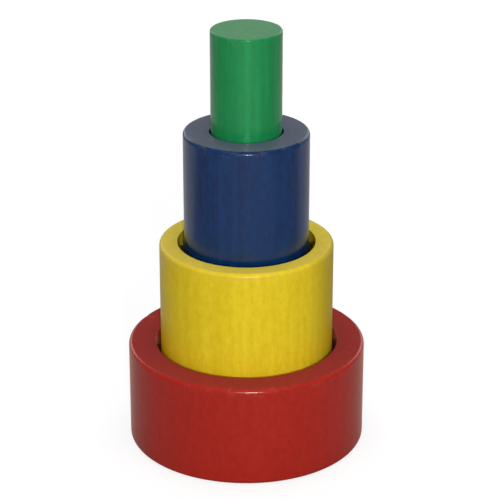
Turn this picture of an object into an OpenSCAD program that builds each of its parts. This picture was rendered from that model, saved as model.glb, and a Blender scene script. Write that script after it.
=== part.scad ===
// Nesting ring tower: four turned wooden pieces that stand inside one another.
// The three outer pieces are open tubes, and the innermost one is a solid peg.
// All four stand on the same surface. Each is taller than the one around it, so
// their tops make four steps, and each lifts straight up out of the next.
// Lengths are in millimetres. The origin is the centre of the base, with +Z up.

/* [Green peg] */
// Diameter of the solid peg in the middle
peg_d = 29.4; // [26:0.1:34]
// Height of the peg
peg_height = 180; // [170:1:200]
// Rounding at the top edge of the peg
peg_top_round = 0.9; // [0.4:0.1:2]

/* [Blue ring] */
// Gap all round between the peg and the blue ring
blue_gap = 0.5; // [0.4:0.05:3]
// Wall thickness of the blue ring
blue_wall = 10.9; // [8:0.05:14]
// Height of the blue ring
blue_height = 137; // [125:1:150]
// Rounding at the outer top edge of the blue ring
blue_top_round = 1.6; // [1:0.1:3.5]

/* [Yellow ring] */
// Gap all round between the blue ring and the yellow ring
yellow_gap = 2.7; // [0.5:0.05:4]
// Wall thickness of the yellow ring
yellow_wall = 7.65; // [6:0.05:12]
// Height of the yellow ring
yellow_height = 88.5; // [80:0.5:100]
// Rounding at the outer top edge of the yellow ring
yellow_top_round = 1.7; // [1:0.1:3.5]

/* [Red ring] */
// Gap all round between the yellow ring and the red ring
red_gap = 2.05; // [0.5:0.05:4]
// Wall thickness of the red ring
red_wall = 11.55; // [8:0.05:14]
// Height of the red ring
red_height = 43.5; // [38:0.5:50]
// Rounding at the outer top edge of the red ring
red_top_round = 1.8; // [1:0.1:3.5]

/* [Edges] */
// Rounding at the outer bottom edge of every piece
foot_round = 1.8; // [0.5:0.1:2]
// Rounding at both ends of every bore
bore_round = 0.3; // [0.2:0.1:1.2]

/* [Hidden] */
$fn = 128;

peg_r = peg_d / 2;
blue_bore_r = peg_r + blue_gap;
blue_r = blue_bore_r + blue_wall;
yellow_bore_r = blue_r + yellow_gap;
yellow_r = yellow_bore_r + yellow_wall;
red_bore_r = yellow_r + red_gap;
red_r = red_bore_r + red_wall;

// What a rounding of radius r takes off a corner. The corner is at the origin,
// and side gives the way to the solid from it, as +1 or -1 along X and Y.
module corner_waste(r, side) {
    difference() {
        translate([side[0] < 0 ? -r : 0, side[1] < 0 ? -r : 0]) square(r);
        translate([side[0] * r, side[1] * r]) circle(r);
    }
}

// Half section of a turned tube, with the axis along Y.
module tube_section(bore_r, outer_r, height, top_round) {
    difference() {
        translate([bore_r, 0]) square([outer_r - bore_r, height]);
        translate([outer_r, height]) corner_waste(top_round, [-1, -1]);
        translate([outer_r, 0]) corner_waste(foot_round, [-1, 1]);
        translate([bore_r, height]) corner_waste(bore_round, [1, -1]);
        translate([bore_r, 0]) corner_waste(bore_round, [1, 1]);
    }
}

// Half section of a turned solid peg, with the axis along Y.
module peg_section(outer_r, height, top_round) {
    difference() {
        square([outer_r, height]);
        translate([outer_r, height]) corner_waste(top_round, [-1, -1]);
        translate([outer_r, 0]) corner_waste(foot_round, [-1, 1]);
    }
}

module red_ring() {
    color("firebrick")
        rotate_extrude() tube_section(red_bore_r, red_r, red_height, red_top_round);
}

module yellow_ring() {
    color("gold")
        rotate_extrude() tube_section(yellow_bore_r, yellow_r, yellow_height, yellow_top_round);
}

module blue_ring() {
    color("midnightblue")
        rotate_extrude() tube_section(blue_bore_r, blue_r, blue_height, blue_top_round);
}

module green_peg() {
    color("seagreen")
        rotate_extrude() peg_section(peg_r, peg_height, peg_top_round);
}

red_ring();
yellow_ring();
blue_ring();
green_peg();
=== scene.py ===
"""The looks of a nesting ring tower: three turned wooden tubes round a solid peg, in four lacquers.

Each piece is turned as a fine mesh over the sizes of its CAD node, which it then stands for.
Lengths are in metres unless a name ends in _mm or _MM, and angles in radians unless it ends in _deg or _DEG.
"""

import math
from dataclasses import dataclass, field

import bmesh
import bpy
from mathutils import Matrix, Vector, noise


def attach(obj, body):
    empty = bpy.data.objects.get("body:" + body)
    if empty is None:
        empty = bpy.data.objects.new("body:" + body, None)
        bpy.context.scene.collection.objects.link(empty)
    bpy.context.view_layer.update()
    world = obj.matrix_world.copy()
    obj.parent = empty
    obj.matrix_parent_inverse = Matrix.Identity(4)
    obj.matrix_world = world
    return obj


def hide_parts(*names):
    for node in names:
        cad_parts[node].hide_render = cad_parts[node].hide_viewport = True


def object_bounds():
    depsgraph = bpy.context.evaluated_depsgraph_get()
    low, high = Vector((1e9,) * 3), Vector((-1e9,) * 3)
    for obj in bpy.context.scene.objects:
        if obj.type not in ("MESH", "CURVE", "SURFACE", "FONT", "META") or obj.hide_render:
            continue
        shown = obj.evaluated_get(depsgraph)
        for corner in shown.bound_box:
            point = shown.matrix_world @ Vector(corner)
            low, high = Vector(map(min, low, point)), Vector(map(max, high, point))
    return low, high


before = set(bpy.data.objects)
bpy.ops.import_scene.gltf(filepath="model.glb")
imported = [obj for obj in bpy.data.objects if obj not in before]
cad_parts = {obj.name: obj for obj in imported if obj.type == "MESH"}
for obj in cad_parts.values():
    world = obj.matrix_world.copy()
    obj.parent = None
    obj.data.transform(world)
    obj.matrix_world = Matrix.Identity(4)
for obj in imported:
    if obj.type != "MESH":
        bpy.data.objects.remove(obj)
cad_low, cad_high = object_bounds()
HEIGHT = cad_high.z
MM = 0.001


def as_object(mesh, name):
    """Puts a finished bmesh into the scene as an object."""
    data = bpy.data.meshes.new(name)
    mesh.to_mesh(data)
    mesh.free()
    made = bpy.data.objects.new(name, data)
    bpy.context.scene.collection.objects.link(made)
    return made


# ---------------------------------------------------------------- sizes read from the CAD nodes

FLAT = 0.01 * MM    # a point within this of the top or the foot lies on it


@dataclass
class Turning:
    """The half section of one turned piece, as its CAD node has it."""
    outer: float        # outer radius
    bore: float         # bore radius, or 0 for a solid piece
    height: float
    top_round: float    # rounding at the outer top edge
    foot_round: float   # rounding at the outer bottom edge
    bore_round: float   # rounding at both ends of the bore


def measure(node, solid=False):
    """Reads a node's radii, height and roundings off its vertices."""
    points = [(math.hypot(v.co.x, v.co.y), v.co.z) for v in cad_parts[node].data.vertices]
    outer = max(r for r, z in points)
    height = max(z for r, z in points)
    top_radii = [r for r, z in points if z > height - FLAT]
    foot_radii = [r for r, z in points if z < FLAT]
    bore = 0.0 if solid else min(r for r, z in points)
    bore_round = 0.0 if solid else min(top_radii) - bore
    return Turning(outer, bore, height, outer - max(top_radii), outer - max(foot_radii), bore_round)


# ---------------------------------------------------------------- turned meshes

SEGMENTS = 512              # steps round the axis
WALL_STEP = 3.2 * MM        # height of a row of faces on a wall
ARC_STEPS = 12              # rows of faces over a rounding
FACE_STEPS = 8              # rows of faces over an end face
ON_AXIS = 1e-7              # a point nearer to the axis than this lies on it
KNOCK_REACH = 4.0 * MM      # how far a knock reaches from the rounding it sits on
EDGE_REACH = 0.2 * MM       # how far the handling wear of a rim reaches from its rounding
SANDING_DEPTH = 0.05 * MM   # depth of the broad hollows that sanding leaves
SANDING_SCALE = 90          # their number in a metre
RIPPLE_DEPTH = 0.018 * MM   # depth of the small ripples on top of them
RIPPLE_SCALE = 520          # their number in a metre


def arc(centre_r, centre_z, radius, start_deg, end_deg, steps=ARC_STEPS):
    """Points of a rounding in the half section, both ends included."""
    angles = [math.radians(start_deg + (end_deg - start_deg) * i / steps) for i in range(steps + 1)]
    return [(centre_r + radius * math.cos(a), centre_z + radius * math.sin(a)) for a in angles]


def straight(start, end, steps):
    """Points strictly between start and end."""
    return [tuple(a + (b - a) * i / steps for a, b in zip(start, end)) for i in range(1, steps)]


def half_section(t):
    """The outline of a piece's half section: foot, outer wall, top face, then the bore downwards."""
    foot = arc(t.outer - t.foot_round, t.foot_round, t.foot_round, -90, 0)
    rim = arc(t.outer - t.top_round, t.height - t.top_round, t.top_round, 0, 90)
    wall_steps = round((rim[0][1] - foot[-1][1]) / WALL_STEP)
    outline = foot + straight(foot[-1], rim[0], wall_steps) + rim
    if not t.bore:
        return ([(0.0, 0.0)] + straight((0.0, 0.0), foot[0], FACE_STEPS) + outline
                + straight(rim[-1], (0.0, t.height), FACE_STEPS) + [(0.0, t.height)])
    lip = arc(t.bore + t.bore_round, t.height - t.bore_round, t.bore_round, 90, 180)
    hem = arc(t.bore + t.bore_round, t.bore_round, t.bore_round, 180, 270)
    return (outline + straight(rim[-1], lip[0], FACE_STEPS) + lip
            + straight(lip[-1], hem[0], wall_steps) + hem + straight(hem[-1], foot[0], FACE_STEPS))


def outward(section, i):
    """The way out of the wood at point i of a half section, square to its outline."""
    before = section[i - 1]
    after = section[(i + 1) % len(section)]
    along = Vector((after[0] - before[0], after[1] - before[1])).normalized()
    return Vector((along.y, -along.x))


@dataclass
class Knock:
    """A small dent at a piece's outer top edge, where the lacquer is worn too."""
    angle_deg: float    # from the front, positive towards +X
    width: float        # half width along the edge
    depth: float


def smooth(x):
    """Smoothstep of x, held between 0 and 1."""
    x = min(1.0, max(0.0, x))
    return x * x * (3 - 2 * x)


def knock_share(knock, angle, radius):
    """How much of a knock's depth there is at an angle round the axis, from 0 to 1."""
    turned = (angle - math.radians(knock.angle_deg) + math.pi) % (2 * math.pi) - math.pi
    return smooth(1 - abs(turned) * radius / knock.width)


def unevenness(point, seed):
    """How far sanding by hand has taken the surface below the true shape."""
    slow = noise.noise(Vector((point.x, point.y, point.z * 0.5)) * SANDING_SCALE + Vector((seed, 0, 0)))
    quick = noise.noise(Vector((point.x, point.y, point.z)) * RIPPLE_SCALE + Vector((0, seed, 0)))
    return SANDING_DEPTH * (0.5 + 0.5 * slow) + RIPPLE_DEPTH * (0.5 + 0.5 * quick)


def bridge(mesh, low, high):
    """Joins two rows of vertices with faces. A row of one vertex is the middle of an end face."""
    for k in range(SEGMENTS):
        after = (k + 1) % SEGMENTS
        if len(low) == 1:
            corners = [low[0], high[after], high[k]]
        elif len(high) == 1:
            corners = [low[k], low[after], high[0]]
        else:
            corners = [low[k], low[after], high[after], high[k]]
        mesh.faces.new(corners).smooth = True


def turn(name, t, seed, knocks=()):
    """Makes a piece by turning its half section, with the small faults of a real one."""
    section = half_section(t)
    mesh = bmesh.new()
    worn_layer = mesh.verts.layers.float.new("worn")
    edge_layer = mesh.verts.layers.float.new("edge")
    rows = []
    for i, (r, z) in enumerate(section):
        if r < ON_AXIS:
            rows.append([mesh.verts.new((0, 0, z))])
            continue
        out = outward(section, i)
        from_rounding = math.hypot(r - t.outer, z - t.height) - t.top_round
        near_rim = smooth(1 - from_rounding / KNOCK_REACH)
        edge = smooth(1 - from_rounding / EDGE_REACH)
        row = []
        for k in range(SEGMENTS):
            angle = 2 * math.pi * k / SEGMENTS
            away = Vector((math.sin(angle), -math.cos(angle)))
            point = Vector((r * away.x, r * away.y, z))
            shares = [knock_share(knock, angle, t.outer) * near_rim for knock in knocks]
            sink = unevenness(point, seed)
            sink += sum(knock.depth * share for knock, share in zip(knocks, shares))
            point -= sink * Vector((out.x * away.x, out.x * away.y, out.y))
            point.z = min(t.height, max(0.0, point.z))
            vert = mesh.verts.new(point)
            vert[worn_layer] = max(shares, default=0.0)
            vert[edge_layer] = edge
            row.append(vert)
        rows.append(row)
    for low, high in zip(rows, rows[1:]):
        bridge(mesh, low, high)
    if t.bore:
        bridge(mesh, rows[-1], rows[0])
    bmesh.ops.recalc_face_normals(mesh, faces=mesh.faces)
    return as_object(mesh, name)


# ---------------------------------------------------------------- nodes

class Nodes:
    """Short ways to add nodes to one tree. An input may be a number, a colour, a vector or a socket."""

    def __init__(self, tree):
        self.tree = tree

    def feed(self, node, inputs):
        """Gives a node its inputs, by name or number."""
        for name, value in inputs.items():
            if isinstance(value, bpy.types.NodeSocket):
                self.tree.links.new(value, node.inputs[name])
            else:
                node.inputs[name].default_value = value

    def add(self, kind, inputs=None, **settings):
        made = self.tree.nodes.new(kind)
        for name, value in settings.items():
            setattr(made, name, value)
        self.feed(made, inputs or {})
        return made

    def maths(self, operation, first, second=0.0):
        return self.add("ShaderNodeMath", {0: first, 1: second}, operation=operation).outputs[0]

    def times(self, first, second):
        return self.maths("MULTIPLY", first, second)

    def plus(self, value, share, amount):
        """The value plus a share of the amount."""
        return self.maths("ADD", value, self.times(share, amount))

    def length(self, vector):
        return self.add("ShaderNodeVectorMath", {0: vector}, operation="LENGTH").outputs["Value"]

    def enlarged(self, vector, factor):
        return self.add("ShaderNodeVectorMath", {0: vector, "Scale": factor}, operation="SCALE").outputs[0]

    def stretched(self, vector, scale, offset=(0, 0, 0)):
        return self.add("ShaderNodeMapping", {
            "Vector": vector, "Location": offset, "Scale": scale}).outputs[0]

    def noise(self, vector, size_mm, detail=2.0, roughness=0.5):
        """Cloudy noise, from 0 to 1, whose features are about size_mm across."""
        return self.add("ShaderNodeTexNoise", {
            "Vector": vector, "Scale": 1 / size_mm, "Detail": detail, "Roughness": roughness}).outputs[0]

    def attribute(self, name):
        """A number that the mesh carries at its vertices."""
        return self.add("ShaderNodeAttribute", attribute_name=name).outputs["Fac"]

    def spread(self, value, low, high, to_low=0.0, to_high=1.0):
        """Maps low..high to to_low..to_high smoothly, and holds it there."""
        return self.add("ShaderNodeMapRange", {
            "Value": value, "From Min": low, "From Max": high, "To Min": to_low, "To Max": to_high},
            interpolation_type="SMOOTHSTEP").outputs[0]

    def mix(self, share, first, second):
        """A colour mix: inputs 0, 6 and 7 are its factor and its two colours, and output 2 the result."""
        return self.add("ShaderNodeMix", {0: share, 6: first, 7: second}, data_type="RGBA").outputs[2]

    def relief(self, height, distance_mm, normal=None):
        """A normal that rises by distance_mm where the height goes from 0 to 1."""
        inputs = {"Height": height, "Strength": 1.0, "Distance": distance_mm * MM}
        if normal:
            inputs["Normal"] = normal
        return self.add("ShaderNodeBump", inputs).outputs[0]


def opaque(colour):
    return (*colour, 1.0)


def new_material(name):
    """A new material, its nodes and its shader."""
    material = bpy.data.materials.new(name)
    material.use_nodes = True
    return material, Nodes(material.node_tree), material.node_tree.nodes["Principled BSDF"]


# ---------------------------------------------------------------- lacquered beech

@dataclass
class Lacquer:
    """One colour of lacquer and how much of the wood under it shows."""
    light: tuple            # linear colour of the pale wood between the streaks
    dark: tuple             # linear colour of the streaks
    end: tuple              # linear colour of the end grain on the top and bottom faces, plus a painted sheen
    end_dark_and_sheen: tuple         # linear colour of the pores in the end grain, plus the same painted sheen
    bare: tuple             # linear colour where the lacquer is worn
    grain: float            # contrast of the streaks, 0 to 1
    mottle: float           # how much of the pattern is cloudy rather than streaked, 0 to 1
    flecks: float           # strength of the small dark rays of beech, 0 to 1
    roughness: float
    gloss: float = 0.5      # how strongly the walls mirror: 0.5 is a full lacquer, less is a thin one
    rim_gloss: float = 0.5  # the same for the rounded rim
    end_gloss: float = 0.5  # the same for the end faces
    bloom: float = 0.0      # strength of the pale bloom that rubbing leaves, seen at a slant
    dark_side: tuple | None = None        # linear colour of the wall nearest the tree's heart, if the wall is darker there
    heart_mm: tuple = (60.0, 25.0)  # where the tree's heart was, seen from the piece's axis


LACQUER_IOR = 1.5
BLOOM_TINT = (1.0, 0.5, 0.3)
BLOOM_ROUGHNESS = 0.3
SEED_STEP_MM = (37.0, 11.0, 53.0)   # how far the patterns of two seeds are apart
END_FACE_SLOPE = (0.90, 0.995)      # a face counts as an end face between these upward parts of its normal
WAVE_PERIOD = 0.314                 # period of a wave texture whose scale is 1
BAND_PERIOD_MM = 4.5                # width of a year's growth
RAY_SPACING_MM = 0.95
DARK_SIDE_NEAR_MM = 26.0                  # the wall is darkest up to this distance from the tree's heart
DARK_SIDE_FAR_MM = 48.0                   # and no longer darker at this one
DARK_SIDE_SHARE = 0.75
CLOUDY_ROUGHNESS = 0.08             # how much the roughness varies in soft clouds
END_ROUGHNESS = 0.22                # how much rougher an end face is than a wall
BARE_ROUGHNESS = 0.2                # how much rougher bare wood is than lacquer


def streaked_wood(nodes, in_mm, from_heart, lacquer):
    """How dark the wood is, from a mottle, two sizes of streak, fibres and yearly bands.

    Each pattern is drawn out along the grain by scaling z down. Returns the darkness, 0 to 1, and the
    streaks and fibres by themselves, for the relief.
    """
    mottle = nodes.noise(nodes.stretched(in_mm, (1, 1, 0.6)), size_mm=2.4, detail=4.0, roughness=0.72)
    streaks = nodes.noise(nodes.stretched(in_mm, (1, 1, 0.08)), size_mm=3.4, detail=4.0, roughness=0.68)
    long_streaks = nodes.noise(nodes.stretched(in_mm, (1, 1, 0.02)), size_mm=8.5, detail=4.0, roughness=0.6)
    fibres = nodes.noise(nodes.stretched(in_mm, (1, 1, 0.045)), size_mm=0.34, detail=2.0, roughness=0.6)
    bands = nodes.add("ShaderNodeTexWave", {
        "Vector": from_heart, "Scale": WAVE_PERIOD / BAND_PERIOD_MM, "Distortion": 9.0, "Detail": 4.0,
        "Detail Scale": 0.8}, wave_type="RINGS", rings_direction="Z").outputs["Fac"]
    tone = nodes.times(mottle, lacquer.mottle)
    for part, share in ((streaks, 0.42), (long_streaks, 0.40), (fibres, 0.10), (bands, 0.08)):
        tone = nodes.plus(tone, part, share * (1 - lacquer.mottle))
    swing = lacquer.grain / 2
    darkness = nodes.spread(tone, low=0.30, high=0.70, to_low=0.5 + swing, to_high=0.5 - swing)
    return darkness, streaks, fibres


def beech_rays(nodes, in_mm):
    """The short dark rays of beech: the cores of long cells, picked by the cells' random colours."""
    cells = nodes.add("ShaderNodeTexVoronoi", {
        "Vector": nodes.stretched(in_mm, (1, 1, 0.16)), "Scale": 1 / RAY_SPACING_MM, "Randomness": 1.0})
    core = nodes.spread(cells.outputs["Distance"], low=0.10, high=0.30, to_low=1.0, to_high=0.0)
    pick = nodes.add("ShaderNodeSeparateColor", {0: cells.outputs["Color"]}).outputs[0]
    return nodes.times(core, nodes.spread(pick, low=0.45, high=0.75))


def wear(nodes, in_mm, edge, end_face):
    """How bare the wood is: scuffed on the end face by the knocks, and rubbed here and there on the rim."""
    scuffs = nodes.spread(nodes.noise(in_mm, size_mm=3.0, detail=3.0), low=0.38, high=0.62, to_high=0.6)
    scuffed = nodes.times(nodes.times(nodes.attribute("worn"), end_face), scuffs)
    rubs = nodes.spread(nodes.noise(in_mm, size_mm=3.2, detail=3.0), low=0.52, high=0.70, to_high=0.16)
    return nodes.maths("MAXIMUM", scuffed, nodes.times(edge, rubs))


def surface_relief(nodes, in_mm, streaks, fibres, edge):
    """Raised streaks and fibres, the lumps that sanding leaves along a rim, and a faint orange peel."""
    normal = nodes.relief(streaks, distance_mm=0.06)
    normal = nodes.relief(fibres, distance_mm=0.012, normal=normal)
    rim_lumps = nodes.times(edge, nodes.noise(in_mm, size_mm=1.7, detail=1.0))
    normal = nodes.relief(rim_lumps, distance_mm=0.12, normal=normal)
    orange_peel = nodes.noise(in_mm, size_mm=1.6, detail=1.0)
    return nodes.relief(orange_peel, distance_mm=0.03, normal=normal)


def lacquered_wood(name, lacquer, seed):
    """Gloss lacquer over turned beech, whose grain runs up the piece."""
    material, nodes, shader = new_material(name)
    place = nodes.add("ShaderNodeTexCoord")
    here_mm = nodes.enlarged(place.outputs["Object"], 1 / MM)
    in_mm = nodes.stretched(here_mm, (1, 1, 1), offset=[seed * step for step in SEED_STEP_MM])
    heart_x, heart_y = lacquer.heart_mm
    from_heart = nodes.stretched(here_mm, (1, 1, 0.05), offset=(-heart_x, -heart_y, 0.0))
    upright = nodes.add("ShaderNodeSeparateXYZ", {0: place.outputs["Normal"]}).outputs["Z"]
    end_face = nodes.spread(nodes.maths("ABSOLUTE", upright), *END_FACE_SLOPE)
    edge = nodes.attribute("edge")

    darkness, streaks, fibres = streaked_wood(nodes, in_mm, from_heart, lacquer)
    wall = nodes.mix(darkness, opaque(lacquer.light), opaque(lacquer.dark))
    wall = nodes.mix(nodes.times(beech_rays(nodes, in_mm), lacquer.flecks), wall, opaque(lacquer.dark))
    mirroring = nodes.plus(lacquer.gloss, edge, lacquer.rim_gloss - lacquer.gloss)
    mirroring = nodes.plus(mirroring, end_face, lacquer.end_gloss - lacquer.gloss)
    # Darker and less glossy towards the tree's heart, which for the yellow ring lies towards +X.
    if lacquer.dark_side:
        dark_side = nodes.spread(nodes.length(from_heart), DARK_SIDE_NEAR_MM, DARK_SIDE_FAR_MM, to_low=DARK_SIDE_SHARE, to_high=0.0)
        wall = nodes.mix(dark_side, wall, opaque(lacquer.dark_side))
        mirroring = nodes.times(mirroring, nodes.maths("SUBTRACT", 1.0, dark_side))
    # The end colours are end grain with a painted sheen: the pale veil that bright surroundings leave on the
    # tops.
    end = nodes.mix(darkness, opaque(lacquer.end), opaque(lacquer.end_dark_and_sheen))
    bareness = wear(nodes, in_mm, edge, end_face)
    colour = nodes.mix(bareness, nodes.mix(end_face, wall, end), opaque(lacquer.bare))

    clouds = nodes.noise(in_mm, size_mm=7.0, detail=3.0)
    roughness = nodes.plus(lacquer.roughness - CLOUDY_ROUGHNESS / 2, clouds, CLOUDY_ROUGHNESS)
    roughness = nodes.plus(roughness, end_face, END_ROUGHNESS)
    roughness = nodes.plus(roughness, bareness, BARE_ROUGHNESS)
    nodes.feed(shader, {
        "Base Color": colour, "Roughness": roughness, "Specular IOR Level": mirroring, "IOR": LACQUER_IOR,
        "Normal": surface_relief(nodes, in_mm, streaks, fibres, edge),
        "Sheen Weight": lacquer.bloom, "Sheen Roughness": BLOOM_ROUGHNESS, "Sheen Tint": opaque(BLOOM_TINT)})
    return material


# Each end colour is the end grain plus a painted sheen of bright surroundings, strongest on the blue and
# green.
RED = Lacquer(
    light=(0.515, 0.0165, 0.0056), dark=(0.370, 0.0105, 0.0036),
    end=(0.355, 0.0290, 0.0265), end_dark_and_sheen=(0.288, 0.0235, 0.0210), bare=(0.45, 0.12, 0.08),
    grain=0.7, mottle=0.7, flecks=0.2, roughness=0.22, end_gloss=0.05, bloom=0.25)
YELLOW = Lacquer(
    light=(0.930, 0.705, 0.030), dark=(0.760, 0.530, 0.008), dark_side=(0.51, 0.37, 0.010),
    end=(0.880, 0.690, 0.085), end_dark_and_sheen=(0.760, 0.590, 0.060), bare=(0.7, 0.5, 0.2),
    grain=1.0, mottle=0.42, flecks=0.35, roughness=0.34, gloss=0.10, rim_gloss=0.35, end_gloss=0.10,
    heart_mm=(60.0, 0.0))
BLUE = Lacquer(
    light=(0.0018, 0.0400, 0.1620), dark=(0.0005, 0.0150, 0.0700),
    end=(0.120, 0.138, 0.200), end_dark_and_sheen=(0.094, 0.110, 0.158), bare=(0.16, 0.19, 0.15),
    grain=0.9, mottle=0.4, flecks=0.2, roughness=0.21, heart_mm=(30.0, -70.0))
GREEN = Lacquer(
    light=(0.009, 0.335, 0.092), dark=(0.004, 0.200, 0.051),
    end=(0.122, 0.365, 0.168), end_dark_and_sheen=(0.098, 0.300, 0.136), bare=(0.2, 0.35, 0.2),
    grain=0.8, mottle=0.25, flecks=0.1, roughness=0.22, heart_mm=(-30.0, -30.0))


# ---------------------------------------------------------------- the four pieces

@dataclass
class Piece:
    """A turned piece: the CAD node it stands for, the body it rides on, and its finish."""
    name: str
    node: str
    body: str
    slot: str
    lacquer: Lacquer
    seed: int
    knocks: list = field(default_factory=list)
    solid: bool = False


PIECES = [
    Piece("turned_red_ring", "red_ring", "red_body", "red_lacquered_wood", RED, seed=1,
          knocks=[Knock(-118, width=3 * MM, depth=0.15 * MM), Knock(140, width=4 * MM, depth=0.2 * MM)]),
    Piece("turned_yellow_ring", "yellow_ring", "yellow_body", "yellow_lacquered_wood", YELLOW, seed=2,
          knocks=[Knock(75, width=3 * MM, depth=0.12 * MM)]),
    Piece("turned_blue_ring", "blue_ring", "blue_body", "blue_lacquered_wood", BLUE, seed=3,
          knocks=[Knock(-66, width=9 * MM, depth=0.1 * MM), Knock(170, width=3 * MM, depth=0.15 * MM)]),
    Piece("turned_green_peg", "green_peg", "green_body", "green_lacquered_wood", GREEN, seed=4,
          knocks=[Knock(100, width=2 * MM, depth=0.1 * MM)], solid=True),
]

for piece in PIECES:
    turned = turn(piece.name, measure(piece.node, piece.solid), piece.seed, piece.knocks)
    turned.data.materials.append(lacquered_wood(piece.slot, piece.lacquer, piece.seed))
    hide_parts(piece.node)
    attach(turned, piece.body)


# ---------------------------------------------------------------- floor

def pale_floor(radius=4.0, cove=1.2, wall_top=2.6, steps=12, sides=96):
    """A round pale floor that curves up into a wall, so that no horizon shows."""
    profile = [(radius * i / steps, 0.0) for i in range(1, steps + 1)]
    profile += arc(radius, cove, cove, -90, 0, steps)[1:] + [(radius + cove, wall_top)]
    ways = [(math.cos(2 * math.pi * k / sides), math.sin(2 * math.pi * k / sides)) for k in range(sides)]
    mesh = bmesh.new()
    centre = mesh.verts.new((0, 0, 0))
    rings = [[mesh.verts.new((r * x, r * y, z)) for x, y in ways] for r, z in profile]
    for k in range(sides):
        mesh.faces.new([centre, rings[0][k], rings[0][(k + 1) % sides]])
    for low, high in zip(rings, rings[1:]):
        for k in range(sides):
            mesh.faces.new([low[k], high[k], high[(k + 1) % sides], low[(k + 1) % sides]])
    for face in mesh.faces:
        face.smooth = True
    return as_object(mesh, "pale_floor")


def floor_paint(bounce, glow, shaded_radius):
    """Pale paint that glows, but fades to a third inside the ring that always stands on it, as a painted
    shadow.
    """
    material, nodes, shader = new_material("floor_paint")
    place = nodes.add("ShaderNodeTexCoord").outputs["Object"]
    cloudy = nodes.add("ShaderNodeTexNoise", {"Vector": place, "Scale": 6.0, "Detail": 3.0}).outputs[0]
    duller, paler = (opaque((bounce * share,) * 3) for share in (0.985, 1.0))
    nodes.feed(shader, {
        "Base Color": nodes.mix(cloudy, duller, paler), "Roughness": 0.9, "Specular IOR Level": 0.1,
        "Emission Color": (1.0, 1.0, 1.0, 1.0),
        # Painted shadow: the glow drops to a third under the red ring.
        "Emission Strength": nodes.spread(
            nodes.length(place), 0.75 * shaded_radius, shaded_radius, to_low=glow / 3, to_high=glow)})
    return material


floor = pale_floor()
floor.data.materials.append(floor_paint(bounce=0.28, glow=0.755, shaded_radius=measure("red_ring").outer))
# The floor's glow lights nothing else, so it keeps the floor pale without flattening the object.
only_floor = bpy.data.collections.new("lit_by_floor")
only_floor.objects.link(floor)
floor.light_linking.receiver_collection = only_floor


# ---------------------------------------------------------------- light

MIDDLE = Vector((0, 0, HEIGHT / 2))
WORLD_RADIANCE = 0.24


def direction(azimuth_deg, elevation_deg):
    """The way from the object to something round it. Azimuth 0 is the front, 90 is towards +X."""
    a, e = math.radians(azimuth_deg), math.radians(elevation_deg)
    return Vector((math.sin(a) * math.cos(e), -math.cos(a) * math.cos(e), math.sin(e)))


def area_light(name, place, size, radiance):
    """A rectangle of light that the camera can't see. Radiance 1 shows as white."""
    light = bpy.data.lights.new(name, "AREA")
    light.shape = "RECTANGLE"
    light.size, light.size_y = size
    light.energy = radiance * math.pi * size[0] * size[1]
    lamp = bpy.data.objects.new(name, light)
    lamp.location = place
    lamp.visible_camera = False
    bpy.context.scene.collection.objects.link(lamp)
    return lamp


def panel(name, azimuth_deg, elevation_deg, distance, size, radiance, mirrored=True):
    """A soft box facing the middle of the object. One that isn't mirrored leaves no highlight."""
    way = direction(azimuth_deg, elevation_deg)
    lamp = area_light(name, MIDDLE + way * distance, size, radiance)
    lamp.rotation_euler = way.to_track_quat("Z", "Y").to_euler()
    lamp.visible_glossy = mirrored


def floor_card(name, x, y, size, radiance):
    """A bright card lying on the floor and facing up, which the walls of the pieces mirror."""
    lamp = area_light(name, (x, y, MM), size, radiance)
    lamp.rotation_euler = (math.pi, 0, 0)


panel("flash", 3, 15, distance=1.3, size=(0.06, 0.04), radiance=1040.0)
panel("key", 4, 38, distance=1.3, size=(1.0, 1.4), radiance=0.30, mirrored=False)
panel("overhead", 0, 88, distance=1.8, size=(1.2, 1.2), radiance=2.85, mirrored=False)
panel("right_fill", 55, 30, distance=1.6, size=(1.2, 1.0), radiance=0.45, mirrored=False)
panel("back_left_fill", -150, 20, distance=1.8, size=(1.0, 1.0), radiance=1.2)
panel("back_right_fill", 150, 20, distance=1.8, size=(1.0, 1.0), radiance=1.2)
floor_card("front_card", 0.0, -0.40, size=(0.6, 0.5), radiance=0.15)
floor_card("back_left_card", -0.24, 0.30, size=(0.36, 0.44), radiance=0.26)
floor_card("back_right_card", 0.24, 0.30, size=(0.36, 0.44), radiance=0.18)

world = bpy.data.worlds.new("studio")
world.use_nodes = True
background = world.node_tree.nodes["Background"]
background.inputs["Color"].default_value = (1.0, 1.0, 1.0, 1.0)
background.inputs["Strength"].default_value = WORLD_RADIANCE
bpy.context.scene.world = world


# ---------------------------------------------------------------- camera

CAMERA_DISTANCE = 0.795     # over the ground, from the object's axis
CAMERA_HEIGHT = 0.4201
PITCH_DEG = 22.92
LENS_MM = 148.5
SENSOR_MM = 36.0
AIM_RIGHT = 0.0015          # the view's centre passes this far to the right of the axis

camera = bpy.data.objects.new("camera", bpy.data.cameras.new("camera"))
camera.data.lens = LENS_MM
camera.data.sensor_width = SENSOR_MM
camera.location = (0.0, -CAMERA_DISTANCE, CAMERA_HEIGHT)
aim_drop = CAMERA_DISTANCE * math.tan(math.radians(PITCH_DEG))
aim = Vector((AIM_RIGHT, 0.0, CAMERA_HEIGHT - aim_drop))
camera.rotation_euler = (camera.location - aim).to_track_quat("Z", "Y").to_euler()
bpy.context.scene.collection.objects.link(camera)
bpy.context.scene.camera = camera
bpy.context.scene.view_settings.view_transform = "Standard"
